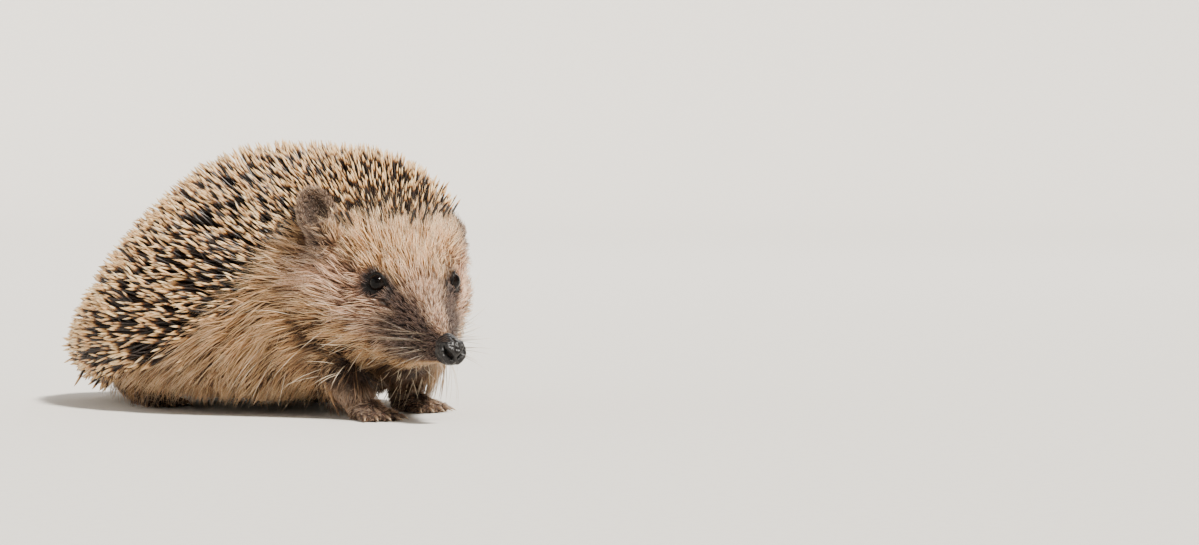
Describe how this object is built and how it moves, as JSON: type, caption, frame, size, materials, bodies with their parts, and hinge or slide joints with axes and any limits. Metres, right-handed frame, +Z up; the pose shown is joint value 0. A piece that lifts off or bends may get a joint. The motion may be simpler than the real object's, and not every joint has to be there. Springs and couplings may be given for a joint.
{
  "type": "european hedgehog model",
  "caption": "Young hedgehog walking with its head turned aside: long pointed snout, round ears, small eyes and a domed coat of short spines.",
  "frame": {"origin": "on the floor, under the middle of the model's bounding box", "axes": "+Y from the nose to the tail along the trunk, -Y the way the animal walks, +Z up, -X the animal's right, to which the head is turned"},
  "size_m": [0.091, 0.1686, 0.0755],
  "materials": {
    "spiny_coat": "dense pale-tipped, dark-banded spines",
    "fur": "coarse straw-brown hair",
    "bare_skin": "thin dark skin under short hair",
    "nose_leather": "wet pebbled black leather",
    "eye": "wet black-brown"
  },
  "bodies": {
    "root": {"head": "fur", "neck": "spiny_coat", "trunk": "spiny_coat", "tail": "bare_skin", "nose": "nose_leather", "eye_left": "eye", "eye_right": "eye", "ear_left": "bare_skin", "ear_right": "bare_skin", "foreleg_left": "fur", "foreleg_right": "fur", "hindleg_left": "fur", "hindleg_right": "fur"}
  },
  "joints": []
}
